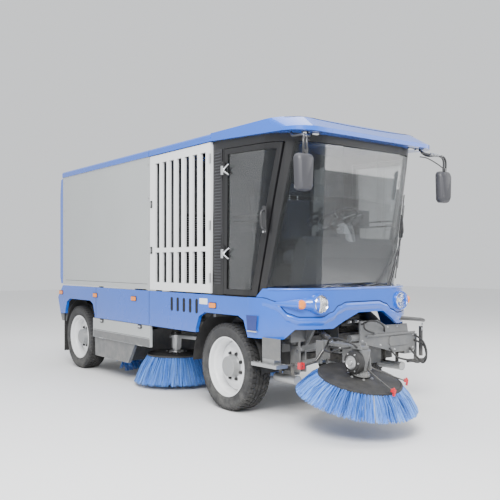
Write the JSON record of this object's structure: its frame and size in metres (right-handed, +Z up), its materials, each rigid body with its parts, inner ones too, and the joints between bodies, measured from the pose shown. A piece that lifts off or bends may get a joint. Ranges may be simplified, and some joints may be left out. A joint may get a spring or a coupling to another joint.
{
  "type": "street sweeper truck",
  "caption": "Cab-over street sweeper truck with a tipping hopper, louvred engine bay, swinging side brushes, roller brush and a raised front brush on a lifting arm.",
  "frame": {"origin": "middle of the truck's footprint on the ground, halfway between the front brush's tips and the rear bumper", "axes": "+Z up, the truck's front faces -Y, its left side is +X"},
  "size_m": [2.2, 6.2749, 2.9],
  "materials": {
    "blue_paint": "gloss paint",
    "grey_panel": "satin silver grey paint",
    "white_panel": "satin white paint",
    "grey_paint": "satin grey paint",
    "chassis_paint": "matt chassis black",
    "engine_block": "cast, painted",
    "black_frame": "satin black",
    "cab_trim": "grained moulding",
    "tinted_glass": "tinted, polished",
    "lamp_lens": "clear and amber lenses",
    "seat_fabric": "woven upholstery",
    "dark_plastic": "fine grained",
    "black_steel": "gloss black",
    "chrome_rod": "polished",
    "galvanised": "zinc",
    "blue_bristle": "drawn bristle",
    "tyre": "matt rubber",
    "wheel_silver": "silver paint"
  },
  "bodies": {
    "truck": {"chassis": "chassis_paint", "engine": "engine_block", "front_axle": "chassis_paint", "rear_axle": "chassis_paint", "cab_floor": "cab_trim", "cab_frame": "black_frame", "cab_roof": "blue_paint", "windscreen": "tinted_glass", "nose_panel": "blue_paint", "bumper": "blue_paint", "lamps": "lamp_lens", "steps": "grey_paint", "front_subframe": "grey_paint", "dashboard": "cab_trim", "driver_seat": "seat_fabric", "mirrors": "dark_plastic", "side_skirts": "blue_paint", "bay_frame": "grey_paint", "bay_roof": "blue_paint", "roller_housing": "grey_paint", "rear_bumper": "grey_paint"},
    "knuckle_left": {"knuckle_left": "chassis_paint"},
    "knuckle_right": {"knuckle_right": "chassis_paint"},
    "wheel_front_left": {"tyre_front_left": "tyre", "rim_front_left": "wheel_silver"},
    "wheel_front_right": {"tyre_front_right": "tyre", "rim_front_right": "wheel_silver"},
    "wheel_rear_left": {"tyre_rear_left": "tyre", "rim_rear_left": "wheel_silver"},
    "wheel_rear_right": {"tyre_rear_right": "tyre", "rim_rear_right": "wheel_silver"},
    "steering_wheel": {"steering_wheel": "dark_plastic"},
    "cab_door_left": {"door_left": "black_frame", "door_glass_left": "tinted_glass"},
    "cab_door_right": {"door_right": "black_frame", "door_glass_right": "tinted_glass"},
    "louvre_left": {"louvre_door_left": "white_panel"},
    "louvre_right": {"louvre_door_right": "white_panel"},
    "hopper": {"hopper": "grey_panel", "hopper_roof": "blue_paint"},
    "rear_hatch": {"rear_hatch": "blue_paint"},
    "tipping_barrels": {"tipping_barrels": "black_steel"},
    "tipping_rods": {"tipping_rods": "chrome_rod"},
    "side_arm_left": {"side_arm_left": "galvanised"},
    "side_arm_right": {"side_arm_right": "galvanised"},
    "side_brush_left": {"side_brush_left": "blue_bristle"},
    "side_brush_right": {"side_brush_right": "blue_bristle"},
    "front_post": {"front_post": "grey_paint"},
    "front_lower_link": {"front_lower_link": "galvanised"},
    "front_upper_link": {"front_upper_link": "galvanised"},
    "front_head": {"front_head": "grey_paint"},
    "front_brush": {"front_brush": "blue_bristle"},
    "lift_barrel": {"lift_barrel": "black_steel"},
    "lift_rod": {"lift_rod": "chrome_rod"},
    "roller_brush": {"roller_brush": "blue_bristle"},
    "cover_left": {"roller_cover_left": "grey_panel"},
    "cover_right": {"roller_cover_right": "grey_panel"}
  },
  "joints": [
    {"name": "steer_right", "type": "hinge", "parent": "truck", "child": "knuckle_right", "pos_m": [-0.69, -1.17154, 0.446], "axis": [0, 0, 1], "range_deg": [-30, 30]},
    {"name": "steer_left", "type": "hinge", "parent": "truck", "child": "knuckle_left", "pos_m": [0.69, -1.17154, 0.446], "axis": [0, 0, 1], "range_deg": [-30, 30]},
    {"name": "steering_wheel_turn", "type": "hinge", "parent": "truck", "child": "steering_wheel", "pos_m": [0, -1.82654, 1.96], "axis": [0, 0.4695, 0.8829], "range_deg": [-540, 540]},
    {"name": "roll_front_left", "type": "hinge", "parent": "knuckle_left", "child": "wheel_front_left", "pos_m": [0.838, -1.17154, 0.446], "axis": [1, 0, 0], "continuous": true},
    {"name": "roll_front_right", "type": "hinge", "parent": "knuckle_right", "child": "wheel_front_right", "pos_m": [-0.838, -1.17154, 0.446], "axis": [1, 0, 0], "continuous": true},
    {"name": "roll_rear_left", "type": "hinge", "parent": "truck", "child": "wheel_rear_left", "pos_m": [0.838, 2.42846, 0.446], "axis": [1, 0, 0], "continuous": true},
    {"name": "roll_rear_right", "type": "hinge", "parent": "truck", "child": "wheel_rear_right", "pos_m": [-0.838, 2.42846, 0.446], "axis": [1, 0, 0], "continuous": true},
    {"name": "door_left_open", "type": "hinge", "parent": "truck", "child": "cab_door_left", "pos_m": [0.9785, -1.15104, 1.9], "axis": [0, 0, 1], "range_deg": [0, 75]},
    {"name": "louvre_left_open", "type": "hinge", "parent": "truck", "child": "louvre_left", "pos_m": [0.994, -0.94254, 2], "axis": [0, 0, -1], "range_deg": [0, 80]},
    {"name": "cover_left_open", "type": "hinge", "parent": "truck", "child": "cover_left", "pos_m": [0.984, 1.12846, 0.497], "axis": [0, 1, 0], "range_deg": [0, 100]},
    {"name": "side_arm_left_swing", "type": "hinge", "parent": "truck", "child": "side_arm_left", "pos_m": [0.42, -0.12654, 0.6], "axis": [0, 0, -1], "range_deg": [0, 35]},
    {"name": "side_brush_left_spin", "type": "hinge", "parent": "side_arm_left", "child": "side_brush_left", "pos_m": [0.535, 0.46346, 0.39], "axis": [0, 0, 1], "continuous": true},
    {"name": "door_right_open", "type": "hinge", "parent": "truck", "child": "cab_door_right", "pos_m": [-0.9785, -1.15104, 1.9], "axis": [0, 0, -1], "range_deg": [0, 75]},
    {"name": "louvre_right_open", "type": "hinge", "parent": "truck", "child": "louvre_right", "pos_m": [-0.994, -0.94254, 2], "axis": [0, 0, 1], "range_deg": [0, 80]},
    {"name": "cover_right_open", "type": "hinge", "parent": "truck", "child": "cover_right", "pos_m": [-0.984, 1.12846, 0.497], "axis": [0, -1, 0], "range_deg": [0, 100]},
    {"name": "side_arm_right_swing", "type": "hinge", "parent": "truck", "child": "side_arm_right", "pos_m": [-0.42, -0.12654, 0.6], "axis": [0, 0, 1], "range_deg": [0, 35]},
    {"name": "side_brush_right_spin", "type": "hinge", "parent": "side_arm_right", "child": "side_brush_right", "pos_m": [-0.535, 0.46346, 0.39], "axis": [0, 0, 1], "continuous": true},
    {"name": "hopper_tip", "type": "hinge", "parent": "truck", "child": "hopper", "pos_m": [0, 2.93346, 1.158], "axis": [-1, 0, 0], "range_deg": [0, 45]},
    {"name": "hatch_open", "type": "hinge", "parent": "hopper", "child": "rear_hatch", "pos_m": [0, 2.95746, 2.772], "axis": [1, 0, 0], "range_deg": [0, 85]},
    {"name": "tipping_barrel_turn", "type": "hinge", "parent": "truck", "child": "tipping_barrels", "pos_m": [0, 0.58246, 0.862], "axis": [1, 0, 0], "range_deg": [0, 23.56]},
    {"name": "tipping_rod_slide", "type": "slide", "parent": "tipping_barrels", "child": "tipping_rods", "axis": [0, 0.9728, 0.2315], "range_m": [0, 0.6778]},
    {"name": "front_swing", "type": "hinge", "parent": "truck", "child": "front_post", "pos_m": [-0.6, -1.83154, 0.58], "axis": [0, 0, 1], "range_deg": [-12, 40]},
    {"name": "front_lift", "type": "hinge", "parent": "front_post", "child": "front_lower_link", "pos_m": [-0.6, -1.91554, 0.53], "axis": [1, 0, 0], "range_deg": [0, 30]},
    {"name": "front_upper_link_turn", "type": "hinge", "parent": "front_post", "child": "front_upper_link", "pos_m": [-0.6, -1.91554, 0.67], "axis": [1, 0, 0], "range_deg": [0, 30]},
    {"name": "front_head_level", "type": "hinge", "parent": "front_lower_link", "child": "front_head", "pos_m": [-0.6, -2.21498, 0.61023], "axis": [-1, 0, 0], "range_deg": [0, 30]},
    {"name": "front_brush_spin", "type": "hinge", "parent": "front_head", "child": "front_brush", "pos_m": [-0.55, -2.64654, 0.494], "axis": [0, -0.225, 0.9744], "continuous": true},
    {"name": "lift_barrel_turn", "type": "hinge", "parent": "front_post", "child": "lift_barrel", "pos_m": [-0.488, -2.01154, 0.884], "axis": [1, 0, 0], "range_deg": [0, 17.7]},
    {"name": "lift_rod_slide", "type": "slide", "parent": "lift_barrel", "child": "lift_rod", "axis": [0, -0.8735, -0.4868], "range_m": [0, 0.09994]},
    {"name": "roller_spin", "type": "hinge", "parent": "truck", "child": "roller_brush", "pos_m": [0, 1.46846, 0.29], "axis": [1, 0, 0], "continuous": true}
  ],
  "couplings": [
    {"joint": "steer_left", "follows": "steer_right", "ratio": 1},
    {"joint": "steering_wheel_turn", "follows": "steer_right", "ratio": 18},
    {"joint": "tipping_barrel_turn", "follows": "hopper_tip", "ratio": 0.52355},
    {"joint": "tipping_rod_slide", "follows": "hopper_tip", "m_per_rad": 0.86299},
    {"joint": "front_upper_link_turn", "follows": "front_lift", "ratio": 1},
    {"joint": "front_head_level", "follows": "front_lift", "ratio": 1},
    {"joint": "lift_barrel_turn", "follows": "front_lift", "ratio": 0.59002},
    {"joint": "lift_rod_slide", "follows": "front_lift", "m_per_rad": 0.19086}
  ]
}
